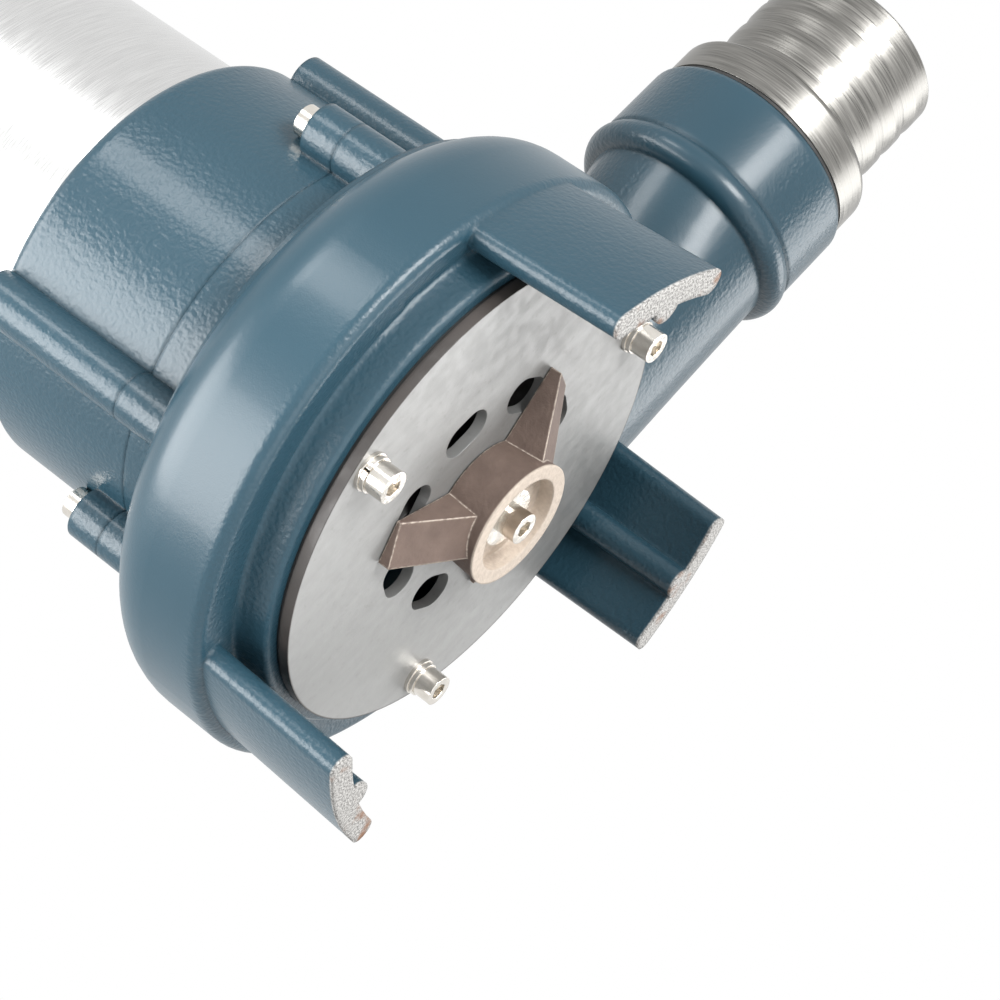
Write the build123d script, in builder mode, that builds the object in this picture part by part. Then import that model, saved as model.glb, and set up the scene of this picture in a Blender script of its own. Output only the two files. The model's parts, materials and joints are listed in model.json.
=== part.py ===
from build123d import *
import os
from math import cos, radians, sin

# Sewage cutter pump, millimetres. It stands on its three legs with the shaft upright.
# All heights are measured from the feet, and the discharge points along +X.

# Legs, cutter plate and suction side
leg_length = 36.5
leg_foot_radii = (98.5, 99.5, 97.0)
leg_wall = 8.0
leg_span = 30.0
leg_rib_radius = 5.0
leg_edge_round = 3.5
leg_rib_bury = 0.5
leg_inset = 0.3
plate_radius = 78.5
plate_thickness = 3.5
plate_screw_circle = 71.0
plate_hole_circle = 34.0
plate_hole_length = 17.0
plate_hole_width = 12.0
plate_hole_count = 8
plate_bore = 10.4
gasket_thickness = 1.0

# Volute casing
lip_radius = 82.5
lip_chamfer = 1.0
crease_round = 3.0
crease_sink = 0.6
lip_draft = 1.0
lip_height = 9.0
valley_depth = 1.5
suction_radius = 64.0
casing_height = 41.5
casing_wall = 7.0
outlet_reach = 104.6
spiral_step = 3.8
under_round = 3.5
crown_round = 20.0
collar_radius = 70.0
collar_height = 18.0
collar_bore = 62.0
collar_fillet = 6.0
throat_margin = 4.0
channel_round = 5.0
lug_root = 4.0
plate_tap_depth = 9.0
lug_tap_depth = 13.0

# Discharge
neck_radius = 37.0
neck_drop = 5.0
neck_length = 149.0
bead_radius = 41.8
bead_width = 9.0
hub_radius = 41.0
hub_length = 29.0
hub_edge = 0.8
hub_round = 3.0
hub_thread_radius = 36.0
hub_thread_length = 26.0
passage_radius = 30.0
outlet_gasket_thickness = 1.2
adapter_radius = 39.4
adapter_length = 14.0
adapter_thread_length = 23.0
adapter_round = 2.5
adapter_socket = 7.0
tail_radius = 33.0
tail_wall = 2.5
tail_step = 0.8
tail_neck = 1.0
tail_length = 52.0
tail_chamfer = 1.0
groove_depth = 1.2
groove_width = 7.0
groove_pitch = 11.5
groove_count = 3

# Cutter
cutter_hub_radius = 19.0
cutter_rim_radius = 20.3
cutter_rim_drop = 15.9
cutter_recess_radius = 15.5
cutter_recess_depth = 5.4
cutter_gap = 0.4
cutter_boss_radius = 9.5
cutter_boss_height = 8.1
cutter_washer_thickness = 1.6
cutter_screw_length = 18.0
cutter_key_width = 3.0
blade_count = 3
blade_turn = 90.0
blade_lead_offset = 4.9
blade_trail_offset = 8.5
blade_root = 15.5
blade_lead_reach = 43.4
blade_trail_reach = 40.0
blade_root_lead = 15.2
blade_root_trail = 12.6
blade_tip_lead = 3.8
blade_tip_trail = 1.2

# Impeller
impeller_radius = 58.0
impeller_gap = 0.7
vane_height = 26.0
vane_thickness = 4.5
vane_count = 4
shroud_thickness = 5.0
impeller_hub_radius = 15.0
impeller_key_width = 4.0

# Seal plate and oil chamber housing
seal_plate_thickness = 10.0
seal_pocket_depth = 12.0
seal_pocket_radius = 27.0
seal_plate_wall = 6.0
seal_plate_screw_count = 4
seal_plate_screw_head = 3.0
seal_plate_tap_depth = 11.0
housing_radius = 70.0
housing_height = 59.0
housing_wall = 8.0
spigot_height = 7.5
spigot_wall = 10.0
rim_round = 5.0
lug_circle = 75.0
lug_radius = 8.5
lug_height = 12.0
column_circle = 73.0
column_radius = 8.0
column_turn = -18.0
column_drop = 3.0
chamber_floor = 4.0
bearing_hub_depth = 18.0
bearing_wall = 12.0
bearing_seat_wall = 5.0
plug_boss_rise = 2.0
plug_washer_thickness = 1.0
plug_head_radius = 7.4
plug_turn = 21.0
plug_radius = 4.0
plug_boss_radius = 9.0
plug_head_height = 5.5

# Mechanical seal and lip seal
seat_radius = 18.0
seat_thickness = 6.5
seat_cup_wall = 2.0
face_radius = 15.5
face_thickness = 5.0
spring_turns = 3
spring_height = 12.0
spring_wire = 1.0
lip_seal_radius = 17.0
lip_seal_width = 7.0
seal_bore_gap = 0.8
seal_recess = 3.0
collar_thickness = 5.0
circlip_thickness = 1.2
circlip_wall = 3.0
circlip_groove = 0.6
o_ring_wire = 1.1

# Shaft
cutter_seat_radius = 7.0
impeller_seat_radius = 8.5
seal_seat_radius = 10.0
rotor_seat_radius = 14.0
upper_seat_radius = 7.5
upper_step_radius = 9.5
shaft_shoulder = 13.0
shaft_chamfer = 0.6
shaft_tap_depth = 20.0

# Bearings
lower_bearing_outside = 23.5
lower_bearing_width = 14.0
upper_bearing_outside = 17.5
upper_bearing_width = 11.0
ball_count = 8
ball_share = 0.29
cage_share = 0.75
shoulder_share = 0.42
running_gap = 0.05

# Motor
shell_radius = 63.0
shell_wall = 1.2
shell_length = 204.0
shell_seat_depth = 10.5
stator_length = 95.0
stator_bore = 34.5
air_gap = 0.5
end_ring_height = 9.0
winding_height = 19.0
winding_inner = 37.0
winding_outer = 51.0
winding_chamfer = 3.0
rotor_lift = 37.0
tie_circle = 57.0
tie_radius = 2.5
tie_count = 3
tie_turn = 30.0
tie_thread = 10.0
bracket_thickness = 8.0
bracket_rim = 1.5
bracket_hub_wall = 6.0
bracket_cap = 5.0
bracket_window = 9.0
bracket_window_count = 6
wave_height = 3.0
shell_seal_thickness = 1.0
ring_step = 3.0

# Top cover, handle and cable gland
cover_radius = 69.0
cover_skirt = 16.0
cover_height = 44.0
cover_wall = 6.0
cover_round = 12.0
cover_step = 2.0
cover_ring_wall = 17.0
tie_well_depth = 13.0
handle_width = 20.0
handle_thickness = 7.0
handle_span = 76.0
handle_foot = 15.0
handle_rise = 46.0
handle_corner = 14.0
gland_offset = 30.0
gland_boss_radius = 15.0
gland_boss_height = 7.0
gland_nut_radius = 13.0
gland_thread_radius = 10.0
gland_thread_length = 9.0
gland_nut_height = 15.0
gland_bore = 5.2
gland_sleeve_radius = 7.8
gland_lip = 1.5
capacitor_radius = 13.0
capacitor_length = 58.0

# Fasteners: thread radius, head radius and head height of socket head screws
m6 = 3.0
m6_head = 5.0
m6_head_height = 6.0
m6_socket = 2.9
m5 = 2.5
m5_head = 4.25
m5_head_height = 5.0
m5_socket = 2.4
flat_washer_radius = 6.0
flat_washer_thickness = 1.2
spring_washer_radius = 5.6
spring_washer_thickness = 1.6
washer_split = 0.8
washer_split_length = 3.6
fit = 0.02
clearance = 0.3
leg_count = 3

# Heights worked out from the sizes above
plate_low = leg_length
plate_top = plate_low + plate_thickness
land = plate_top + gasket_thickness
casing_low = land + lip_height
casing_high = casing_low + casing_height
parting = casing_high + collar_height
housing_top = parting + housing_height
shell_low = housing_top - shell_seat_depth
shell_top = shell_low + shell_length
cover_low = shell_top - shell_seat_depth
cover_top = cover_low + cover_height
outlet_y = outlet_reach - neck_radius
outlet_z = casing_low - neck_drop + neck_radius
hub_start = neck_length + bead_width / 2
hub_end = hub_start + hub_length
adapter_start = hub_end + outlet_gasket_thickness
adapter_end = adapter_start + adapter_length
tail_end = adapter_end + tail_length - adapter_socket
spigot_low = parting - spigot_height
seal_plate_low = spigot_low - seal_plate_thickness
pocket_low = seal_plate_low - seal_pocket_depth

# The pump axis stands beside the middle of the footprint, so that the middle is the origin.
left_reach = outlet_reach - spiral_step
near_reach = outlet_reach - 2 * spiral_step
far_reach = outlet_y + bead_radius
axis_x = (left_reach - tail_end) / 2
axis_y = (near_reach - far_reach) / 2
floor = Plane(origin=(axis_x, axis_y, 0))
section = Plane(origin=(axis_x, axis_y, 0), x_dir=(1, 0, 0), z_dir=(0, -1, 0))
spindle = Axis((axis_x, axis_y, 0), (0, 0, 1))
outlet_section = Plane(origin=(axis_x, axis_y + outlet_y, outlet_z), x_dir=(1, 0, 0), z_dir=(0, -1, 0))
outlet_axis = Axis((axis_x, axis_y + outlet_y, outlet_z), (1, 0, 0))

os.makedirs("parts", exist_ok=True)


def keep(piece, label):
    """Name a finished piece and write its file."""
    piece.label = label
    export_step(piece, f"parts/{label}.step")


def level(height):
    """The horizontal plane at a height, centred on the shaft."""
    return floor.offset(height)


def ring(label, outer, inner, low, high):
    """A plain turned ring or disc on the shaft's axis."""
    with BuildPart() as turned:
        with BuildSketch(level(low)):
            Circle(outer)
            if inner > 0:
                Circle(inner, mode=Mode.SUBTRACT)
        extrude(amount=high - low)
    keep(turned.part, label)
    return turned.part


def along_outlet(station):
    """The plane across the discharge at a distance from the shaft."""
    return Plane(origin=(axis_x + station, axis_y + outlet_y, outlet_z), x_dir=(0, 1, 0), z_dir=(1, 0, 0))


def spiral_quarter(index):
    """Centre plane, axis and outer radius of one quarter of the volute, from the outlet backwards."""
    half = spiral_step / 2
    shift_x = half if index in (0, 3) else -half
    shift_y = half if index in (0, 1) else -half
    start = radians(90 * (index + 1))
    centre = (axis_x + shift_x, axis_y + shift_y, 0)
    plane = Plane(origin=centre, x_dir=(cos(start), sin(start), 0), z_dir=(sin(start), -cos(start), 0))
    return plane, Axis(centre, (0, 0, 1)), outlet_reach - half - index * spiral_step


def wall_radius(angle):
    """Distance from the shaft to the spiral's outer wall at an angle."""
    quarter = int(angle % 360 // 90)
    half = spiral_step / 2
    shift_x = half if quarter in (0, 3) else -half
    shift_y = half if quarter in (0, 1) else -half
    along = shift_x * cos(radians(angle)) + shift_y * sin(radians(angle))
    return outlet_reach - half - quarter * spiral_step + along


# Volute casing: collar and lip round the shaft, spiral channel, discharge and three legs
leg_angles = [60 + 360 / leg_count * i for i in range(leg_count)]
column_angles = [column_turn + 360 / leg_count * i for i in range(leg_count)]
plate_screw_angles = [360 / leg_count * i for i in range(leg_count)]
channel_low = casing_low + casing_wall
channel_high = casing_high - casing_wall
channel_inner = suction_radius - collar_fillet
bead_root = (neck_radius + passage_radius) / 2
inner_reach = collar_bore + collar_fillet
neck_inner = collar_bore + throat_margin
throat_centre = ((outlet_reach + neck_inner) / 2 - outlet_y, (casing_low + casing_high) / 2 - outlet_z)
crown_level = casing_high - lip_chamfer
crease_radius = lip_radius + lip_draft
valley_level = casing_low + valley_depth
crease_level = valley_level + crease_sink
leg_top = casing_high - crown_round - lip_chamfer

with BuildPart() as volute_casing:
    with BuildSketch(section):
        with BuildLine():
            Polyline(
                (suction_radius, land),
                (lip_radius - lip_chamfer, land),
                (lip_radius, land + lip_chamfer),
                (crease_radius, crease_level - crease_round),
            )
            RadiusArc(
                (crease_radius, crease_level - crease_round),
                (crease_radius + crease_round, crease_level),
                crease_round,
            )
            Polyline(
                (crease_radius + crease_round, crease_level),
                (crease_radius + crease_round, crown_level),
                (collar_radius + collar_fillet, crown_level),
            )
            RadiusArc(
                (collar_radius + collar_fillet, crown_level),
                (collar_radius, crown_level + collar_fillet),
                -collar_fillet,
            )
            Polyline(
                (collar_radius, crown_level + collar_fillet),
                (collar_radius, parting),
                (collar_bore, parting),
                (collar_bore, channel_high),
                (suction_radius, channel_high),
                (suction_radius, land),
            )
        make_face()
    revolve(axis=spindle)
    for quarter in range(4):
        plane, axis, reach = spiral_quarter(quarter)
        with BuildSketch(plane):
            with BuildLine():
                Line((reach - under_round, casing_low), (lip_radius - lip_chamfer, valley_level))
                Line((lip_radius - lip_chamfer, valley_level), (inner_reach, valley_level))
                Line((inner_reach, valley_level), (inner_reach, casing_high))
                Line((inner_reach, casing_high), (reach - crown_round, casing_high))
                RadiusArc((reach - crown_round, casing_high), (reach, casing_high - crown_round), crown_round)
                Line((reach, casing_high - crown_round), (reach, casing_low + under_round))
                RadiusArc((reach, casing_low + under_round), (reach - under_round, casing_low), under_round)
            make_face()
        revolve(axis=axis, revolution_arc=90)
    # Discharge neck, from the end of the spiral to the round outlet
    with BuildSketch(along_outlet(spiral_step / 2)) as throat:
        with Locations(throat_centre):
            Rectangle(outlet_reach - neck_inner, casing_height)
        fillet(throat.vertices().group_by(Axis.Y)[0], under_round)
        fillet(throat.vertices().group_by(Axis.Y)[-1].sort_by(Axis.X)[-1], crown_round)
    with BuildSketch(along_outlet(neck_length)):
        Circle(neck_radius)
    loft()
    with BuildSketch(outlet_section):
        with BuildLine():
            Polyline((neck_length - bead_width / 2, 0), (neck_length - bead_width / 2, bead_root))
            ThreePointArc(
                (neck_length - bead_width / 2, bead_root),
                (neck_length - bead_width / 5, bead_radius),
                (hub_start, hub_radius - hub_edge),
            )
            Polyline(
                (hub_start, hub_radius - hub_edge),
                (hub_start + hub_edge, hub_radius),
                (hub_end - hub_round, hub_radius),
            )
            RadiusArc((hub_end - hub_round, hub_radius), (hub_end, hub_radius - hub_round), hub_round)
            Polyline((hub_end, hub_radius - hub_round), (hub_end, 0), (neck_length - bead_width / 2, 0))
        make_face()
    revolve(axis=outlet_axis)
    # Legs: curved walls that run on from the spiral's side, each with a half round rib on its inner face
    for angle, foot_radius in zip(leg_angles, leg_foot_radii):
        for height, radius in ((0, foot_radius), (leg_top, wall_radius(angle) - leg_inset)):
            with BuildSketch(level(height)) as leg:
                with BuildLine():
                    outside = CenterArc((0, 0), radius, angle - leg_span / 2, leg_span)
                    inside = CenterArc((0, 0), radius - leg_wall, angle - leg_span / 2, leg_span)
                    Line(outside @ 0, inside @ 0)
                    Line(outside @ 1, inside @ 1)
                make_face()
                fillet(leg.vertices(), leg_edge_round)
        loft()
        with BuildSketch(floor):
            with PolarLocations(foot_radius - leg_wall + leg_rib_bury, 1, start_angle=angle):
                Circle(leg_rib_radius)
        extrude(amount=casing_low + under_round)
    # Screw lugs and long columns on the collar
    with BuildSketch(level(casing_high - lug_root)):
        for angle in leg_angles:
            with PolarLocations(lug_circle, 1, start_angle=angle):
                Circle(lug_radius)
        for angle in column_angles:
            with PolarLocations(column_circle, 1, start_angle=angle):
                Circle(column_radius)
    extrude(amount=parting - casing_high + lug_root)
    # Spiral channel and discharge passage
    for quarter in range(4):
        plane, axis, reach = spiral_quarter(quarter)
        wall = reach - casing_wall
        high_round = crown_round - casing_wall
        with BuildSketch(plane):
            with BuildLine():
                Polyline((wall - channel_round, channel_low), (channel_inner, channel_low))
                Polyline((channel_inner, channel_low), (channel_inner, channel_high))
                Line((channel_inner, channel_high), (wall - high_round, channel_high))
                RadiusArc((wall - high_round, channel_high), (wall, channel_high - high_round), high_round)
                Line((wall, channel_high - high_round), (wall, channel_low + channel_round))
                RadiusArc(
                    (wall, channel_low + channel_round),
                    (wall - channel_round, channel_low),
                    channel_round,
                )
            make_face()
        revolve(axis=axis, revolution_arc=90, mode=Mode.SUBTRACT)
    with BuildSketch(along_outlet(spiral_step / 2)) as mouth:
        with Locations(throat_centre):
            Rectangle(outlet_reach - neck_inner - 2 * casing_wall, casing_height - 2 * casing_wall)
        fillet(mouth.vertices(), channel_round)
    with BuildSketch(along_outlet(neck_length)):
        Circle(passage_radius)
    loft(mode=Mode.SUBTRACT)
    with BuildSketch(along_outlet(neck_length)):
        Circle(passage_radius)
    extrude(amount=hub_end - neck_length, mode=Mode.SUBTRACT)
    with BuildSketch(along_outlet(hub_end)):
        Circle(hub_thread_radius)
    extrude(amount=-hub_thread_length, mode=Mode.SUBTRACT)
    # Tapped holes for the plate screws and the housing screws
    with BuildSketch(level(land)):
        for angle in plate_screw_angles:
            with PolarLocations(plate_screw_circle, 1, start_angle=angle):
                Circle(m6 + fit)
    extrude(amount=plate_tap_depth, mode=Mode.SUBTRACT)
    with BuildSketch(level(parting)):
        for angle in leg_angles:
            with PolarLocations(lug_circle, 1, start_angle=angle):
                Circle(m6 + fit)
    extrude(amount=-lug_tap_depth, mode=Mode.SUBTRACT)
keep(volute_casing.part, "volute_casing")

# Cutter plate with oblong inlet holes
with BuildPart() as cutter_plate:
    with BuildSketch(level(plate_low)):
        Circle(plate_radius)
        Circle(plate_bore, mode=Mode.SUBTRACT)
        with PolarLocations(plate_screw_circle, leg_count):
            Circle(m6 + clearance, mode=Mode.SUBTRACT)
        with PolarLocations(plate_hole_circle, plate_hole_count):
            SlotOverall(plate_hole_length, plate_hole_width, rotation=90, mode=Mode.SUBTRACT)
    extrude(amount=plate_thickness)
keep(cutter_plate.part, "cutter_plate")

with BuildPart() as plate_gasket:
    with BuildSketch(level(plate_top)):
        Circle(plate_radius - 0.5)
        Circle(suction_radius + 1, mode=Mode.SUBTRACT)
        with PolarLocations(plate_screw_circle, leg_count):
            Circle(m6 + clearance, mode=Mode.SUBTRACT)
    extrude(amount=gasket_thickness)
keep(plate_gasket.part, "plate_gasket")

# Plate screws with their flat and spring washers
spring_washer_low = plate_low - flat_washer_thickness - spring_washer_thickness
with BuildPart() as plate_flat_washers:
    with BuildSketch(level(plate_low)):
        with PolarLocations(plate_screw_circle, leg_count):
            Circle(flat_washer_radius)
            Circle(m6 + clearance, mode=Mode.SUBTRACT)
    extrude(amount=-flat_washer_thickness)
keep(plate_flat_washers.part, "plate_flat_washers")

with BuildPart() as plate_spring_washers:
    with BuildSketch(level(spring_washer_low)):
        with PolarLocations(plate_screw_circle, leg_count):
            Circle(spring_washer_radius)
            Circle(m6 + clearance, mode=Mode.SUBTRACT)
            with Locations((spring_washer_radius - m6 / 2, 0)):
                Rectangle(washer_split_length, washer_split, rotation=25, mode=Mode.SUBTRACT)
    extrude(amount=spring_washer_thickness)
keep(plate_spring_washers.part, "plate_spring_washers")

with BuildPart() as plate_screws:
    with BuildSketch(level(spring_washer_low)):
        with PolarLocations(plate_screw_circle, leg_count):
            Circle(m6_head)
    extrude(amount=-m6_head_height)
    with BuildSketch(level(spring_washer_low)):
        with PolarLocations(plate_screw_circle, leg_count):
            Circle(m6)
    extrude(amount=land + plate_tap_depth - clearance - spring_washer_low)
    with BuildSketch(level(spring_washer_low - m6_head_height)):
        with PolarLocations(plate_screw_circle, leg_count):
            RegularPolygon(m6_socket, 6)
    extrude(amount=m6_head_height / 2, mode=Mode.SUBTRACT)
keep(plate_screws.part, "plate_screws")

# Cutter: recessed hub with three claw shaped blades that shear across the plate's holes
cutter_top = plate_low - cutter_gap
cutter_rim = plate_low - cutter_rim_drop
recess_floor = cutter_rim + cutter_recess_depth
cutter_key_circle = cutter_seat_radius + 0.5
impeller_key_circle = impeller_seat_radius + 0.5
impeller_low = plate_top + impeller_gap
boss_top = cutter_top + cutter_boss_height


def across_blade(turn, lead_reach, trail_reach):
    """The upright plane across a blade from its leading to its trailing face, and the width there."""
    forward = Vector(cos(turn), sin(turn), 0)
    sideways = Vector(-sin(turn), cos(turn), 0)
    lead = forward * lead_reach - sideways * blade_lead_offset
    trail = forward * trail_reach + sideways * blade_trail_offset
    across = trail - lead
    normal = (-across.Y, across.X, 0)
    return Plane(origin=Vector(axis_x, axis_y, cutter_top) + lead, x_dir=across, z_dir=normal), across.length


with BuildPart() as cutter:
    with BuildSketch(level(cutter_rim)):
        Circle(cutter_rim_radius)
    with BuildSketch(level(cutter_top)):
        Circle(cutter_hub_radius)
    loft()
    # Each blade slopes from the hub's rim to a thin skewed tip, deeper on its leading side
    for blade in range(blade_count):
        turn = radians(blade_turn + 360 / blade_count * blade)
        for lead_reach, trail_reach, lead_depth, trail_depth in (
            (blade_root, blade_root, blade_root_lead, blade_root_trail),
            (blade_lead_reach, blade_trail_reach, blade_tip_lead, blade_tip_trail),
        ):
            plane, width = across_blade(turn, lead_reach, trail_reach)
            with BuildSketch(plane):
                with BuildLine():
                    Polyline((0, 0), (0, lead_depth), (width, trail_depth), (width, 0), (0, 0))
                make_face()
        loft()
    with BuildSketch(level(cutter_top)):
        Circle(cutter_boss_radius)
    extrude(amount=boss_top - cutter_top)
    with BuildSketch(level(cutter_rim)):
        Circle(cutter_recess_radius)
    extrude(amount=cutter_recess_depth, mode=Mode.SUBTRACT)
    with BuildSketch(level(recess_floor)):
        Circle(cutter_seat_radius + fit)
        with Locations((cutter_key_circle, 0)):
            Rectangle(cutter_key_width + 2 * fit, cutter_key_width + 2 * fit)
    extrude(amount=boss_top - recess_floor, mode=Mode.SUBTRACT)
keep(cutter.part, "cutter")

with BuildPart() as cutter_key:
    with BuildSketch(level(recess_floor + 0.5)):
        with Locations((cutter_key_circle, 0)):
            Rectangle(cutter_key_width, cutter_key_width)
    extrude(amount=boss_top - recess_floor - 1)
keep(cutter_key.part, "cutter_key")

shaft_low = recess_floor + 0.5
washer_low = recess_floor - cutter_washer_thickness
with BuildPart() as cutter_washer:
    with BuildSketch(level(recess_floor)):
        Circle(cutter_boss_radius)
        Circle(m6 + clearance, mode=Mode.SUBTRACT)
    extrude(amount=-cutter_washer_thickness)
keep(cutter_washer.part, "cutter_washer")

with BuildPart() as cutter_screw:
    with BuildSketch(level(washer_low)):
        Circle(m6_head)
    extrude(amount=-m6_head_height)
    with BuildSketch(level(washer_low)):
        Circle(m6)
    extrude(amount=cutter_screw_length)
    with BuildSketch(level(washer_low - m6_head_height)):
        RegularPolygon(m6_socket, 6)
    extrude(amount=m6_head_height / 2, mode=Mode.SUBTRACT)
keep(cutter_screw.part, "cutter_screw")

# Impeller: curved vanes under a back shroud, keyed to the shaft
shroud_low = impeller_low + vane_height
hub_top = pocket_low - seal_plate_wall - seal_bore_gap
with BuildPart() as impeller:
    with BuildSketch(level(shroud_low)):
        Circle(impeller_radius)
    extrude(amount=shroud_thickness)
    with BuildSketch(level(boss_top)):
        Circle(impeller_hub_radius)
    extrude(amount=hub_top - boss_top)
    for vane in range(vane_count):
        turn = 360 / vane_count * vane
        vane_plane = Plane(
            origin=(axis_x, axis_y, impeller_low),
            x_dir=(cos(radians(turn)), sin(radians(turn)), 0),
            z_dir=(0, 0, 1),
        )
        with BuildSketch(vane_plane):
            with BuildLine():
                ThreePointArc((10, 4), (36, 12), (impeller_radius - 3, 0))
                offset(amount=vane_thickness, side=Side.LEFT)
            make_face()
        extrude(amount=vane_height)
    with BuildSketch(level(impeller_low)):
        Circle(cutter_boss_radius + 1)
    extrude(amount=boss_top - impeller_low, mode=Mode.SUBTRACT)
    with BuildSketch(level(boss_top)):
        Circle(impeller_seat_radius + fit)
        with Locations((impeller_key_circle, 0)):
            Rectangle(impeller_key_width + 2 * fit, impeller_key_width + 2 * fit)
    extrude(amount=hub_top - boss_top, mode=Mode.SUBTRACT)
keep(impeller.part, "impeller")

with BuildPart() as impeller_key:
    with BuildSketch(level(boss_top + 1)):
        with Locations((impeller_key_circle, 0)):
            Rectangle(impeller_key_width, impeller_key_width)
    extrude(amount=hub_top - boss_top - 2)
keep(impeller_key.part, "impeller_key")

# Discharge: rubber gasket, threaded steel adapter and hose tail
with BuildPart() as outlet_gasket:
    with BuildSketch(along_outlet(hub_end)):
        Circle(adapter_radius - 0.4)
        Circle(hub_thread_radius + 0.3, mode=Mode.SUBTRACT)
    extrude(amount=outlet_gasket_thickness)
keep(outlet_gasket.part, "outlet_gasket")

adapter_bore = tail_radius - tail_wall
tail_start = adapter_end - adapter_socket
tail_seat = tail_radius - tail_step
adapter_inner_end = hub_end - adapter_thread_length
with BuildPart() as outlet_adapter:
    with BuildSketch(outlet_section):
        with BuildLine():
            Polyline(
                (adapter_inner_end, adapter_bore),
                (adapter_inner_end, hub_thread_radius - running_gap),
                (adapter_start, hub_thread_radius - running_gap),
                (adapter_start, adapter_radius),
                (adapter_end - adapter_round, adapter_radius),
            )
            RadiusArc(
                (adapter_end - adapter_round, adapter_radius),
                (adapter_end, adapter_radius - adapter_round),
                adapter_round,
            )
            Polyline(
                (adapter_end, adapter_radius - adapter_round),
                (adapter_end, tail_seat + fit),
                (tail_start, tail_seat + fit),
                (tail_start, adapter_bore),
                (adapter_inner_end, adapter_bore),
            )
        make_face()
    revolve(axis=outlet_axis)
keep(outlet_adapter.part, "outlet_adapter")

with BuildPart() as hose_tail:
    with BuildSketch(outlet_section):
        with BuildLine():
            Polyline(
                (tail_start, adapter_bore),
                (tail_start, tail_seat),
                (adapter_end + tail_neck, tail_seat),
                (adapter_end + tail_neck, tail_radius),
                (tail_end - tail_chamfer, tail_radius),
                (tail_end, tail_radius - tail_chamfer),
                (tail_end, adapter_bore),
                (tail_start, adapter_bore),
            )
        make_face()
        for groove in range(groove_count):
            start = adapter_end + groove_width + groove * groove_pitch
            with BuildLine():
                Polyline(
                    (start, tail_radius),
                    (start, tail_radius - groove_depth),
                    (start + groove_width, tail_radius),
                    (start, tail_radius),
                )
            make_face(mode=Mode.SUBTRACT)
    revolve(axis=outlet_axis)
keep(hose_tail.part, "hose_tail")

# Seal plate: closes the pump chamber and carries the mechanical seal in a sunk pocket
pocket_under = pocket_low - seal_plate_wall
spigot_outer = collar_bore - clearance
spigot_inner = spigot_outer - spigot_wall
plate_bolt_circle = (spigot_outer + spigot_inner) / 2
with BuildPart() as seal_plate:
    with BuildSketch(section):
        with BuildLine():
            Polyline(
                (seal_seat_radius + seal_bore_gap, pocket_under),
                (seal_pocket_radius + seal_plate_wall, pocket_under),
                (plate_bolt_circle - m5_head - 1, seal_plate_low),
                (spigot_outer, seal_plate_low),
                (spigot_outer, spigot_low),
                (spigot_inner - seal_recess, spigot_low),
                (spigot_inner - seal_recess, seal_plate_low + seal_plate_wall),
                (seal_pocket_radius, pocket_low + chamber_floor),
                (seat_radius + fit, pocket_low + chamber_floor),
                (seat_radius + fit, pocket_low - seal_recess),
                (seal_seat_radius + seal_bore_gap, pocket_low - seal_recess),
                (seal_seat_radius + seal_bore_gap, pocket_under),
            )
        make_face()
    revolve(axis=spindle)
    with BuildSketch(level(seal_plate_low)):
        with PolarLocations(plate_bolt_circle, seal_plate_screw_count, start_angle=45):
            Circle(m5 + clearance)
    extrude(amount=seal_plate_thickness, mode=Mode.SUBTRACT)
keep(seal_plate.part, "seal_plate")

with BuildPart() as seal_plate_screws:
    with BuildSketch(level(seal_plate_low)):
        with PolarLocations(plate_bolt_circle, seal_plate_screw_count, start_angle=45):
            Circle(m5_head)
    extrude(amount=-seal_plate_screw_head)
    with BuildSketch(level(seal_plate_low)):
        with PolarLocations(plate_bolt_circle, seal_plate_screw_count, start_angle=45):
            Circle(m5)
    extrude(amount=seal_plate_thickness + seal_plate_tap_depth - clearance)
keep(seal_plate_screws.part, "seal_plate_screws")

# Mechanical seal
seat_low = pocket_low - seal_recess
seat_top = seat_low + seat_cup_wall + seat_thickness
with BuildPart() as seal_cup:
    with BuildSketch(section):
        with BuildLine():
            Polyline(
                (seal_seat_radius + seal_bore_gap, seat_low),
                (seat_radius, seat_low),
                (seat_radius, seat_top - running_gap),
                (seat_radius - seat_cup_wall, seat_top - running_gap),
                (seat_radius - seat_cup_wall, seat_low + seat_cup_wall),
                (seal_seat_radius + seal_bore_gap, seat_low + seat_cup_wall),
                (seal_seat_radius + seal_bore_gap, seat_low),
            )
        make_face()
    revolve(axis=spindle)
keep(seal_cup.part, "seal_cup")
cup_floor = seat_low + seat_cup_wall
seal_seat_outer = seat_radius - seat_cup_wall
seal_seat = ring("seal_seat", seal_seat_outer, seal_seat_radius + seal_bore_gap, cup_floor, seat_top)
face_low = seat_top + running_gap
face_top = face_low + face_thickness
seal_face = ring("seal_face", face_radius, seal_seat_radius + fit, face_low, face_top)
with BuildPart() as seal_spring:
    with BuildLine(level(face_top + spring_wire)):
        coil = Helix(
            pitch=(spring_height - 2 * spring_wire) / spring_turns,
            height=spring_height - 2 * spring_wire,
            radius=(seal_seat_radius + face_radius) / 2,
        )
    with BuildSketch(Plane(origin=coil @ 0, z_dir=coil % 0)):
        Circle(spring_wire)
    sweep(is_frenet=True)
keep(seal_spring.part, "seal_spring")
collar_low = face_top + spring_height
collar_top = collar_low + collar_thickness
seal_collar = ring("seal_collar", face_radius, seal_seat_radius + fit, collar_low, collar_top)
circlip_low = collar_top + running_gap
circlip_top = circlip_low + circlip_thickness
circlip_seat = seal_seat_radius - circlip_groove
seal_circlip = ring(
    "seal_circlip", seal_seat_radius + circlip_wall, circlip_seat + running_gap, circlip_low, circlip_top
)

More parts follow.
